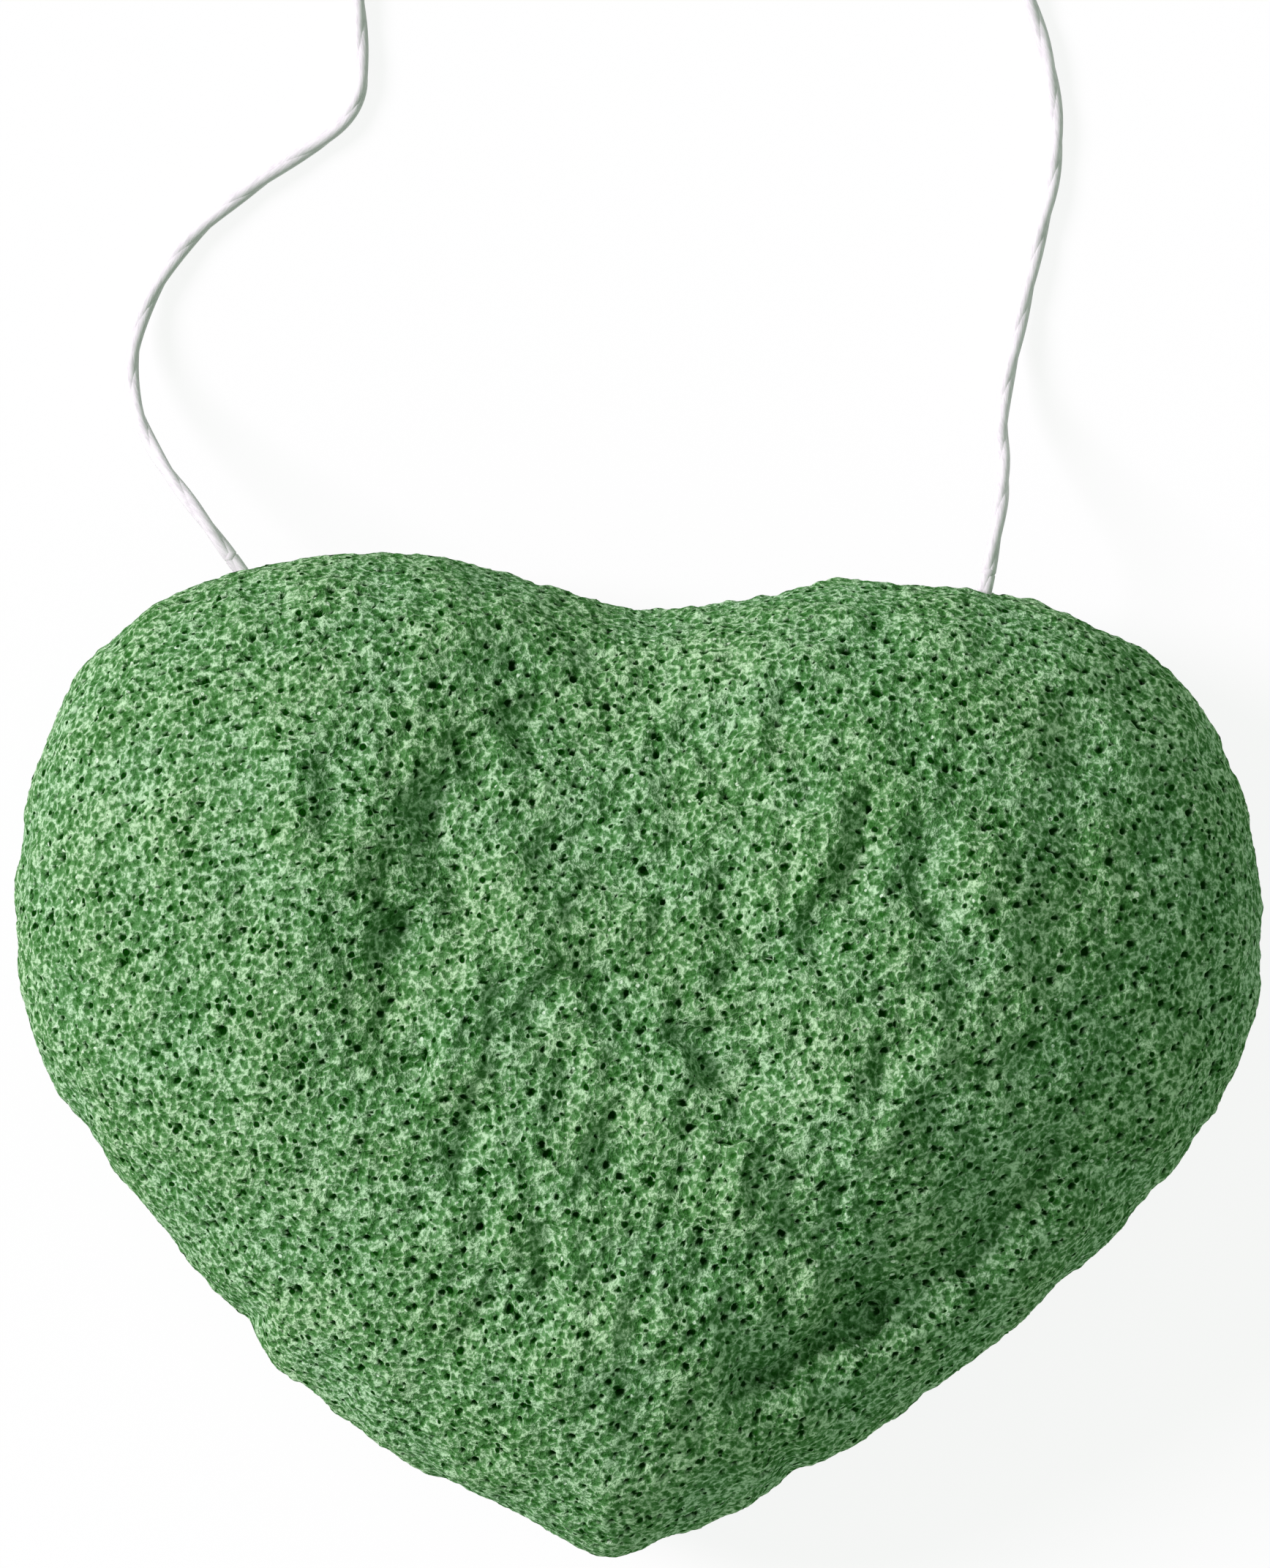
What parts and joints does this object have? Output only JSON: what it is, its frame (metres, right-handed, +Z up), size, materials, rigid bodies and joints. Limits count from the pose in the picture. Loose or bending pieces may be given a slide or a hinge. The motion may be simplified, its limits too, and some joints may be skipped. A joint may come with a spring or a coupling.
{
  "type": "konjac sponge",
  "caption": "Heart-shaped konjac facial sponge with a domed porous face and a flat back, hung by a thin cotton loop that is threaded through its lobes and swings.",
  "frame": {"origin": "middle of the sponge's flat back, on the surface that it lies on", "axes": "+Z up through the domed face, +Y from the heart's tip to its cleft, +X across the lobes"},
  "size_m": [0.085, 0.1313, 0.0283],
  "materials": {
    "konjac_foam": "matte",
    "cotton_cord": "matte"
  },
  "bodies": {
    "sponge": {"sponge_body": "konjac_foam", "cord_threaded": "cotton_cord"},
    "loop": {"cord_left": "cotton_cord", "cord_right": "cotton_cord", "knot_strand_left": "cotton_cord", "knot_strand_right": "cotton_cord"}
  },
  "joints": [
    {"name": "loop_swing", "type": "hinge", "parent": "sponge", "child": "loop", "pos_m": [-0.02913, 0.03291, 0.0095], "axis": [0.9996, 0.0279, 0], "range_deg": [0, 90]}
  ]
}
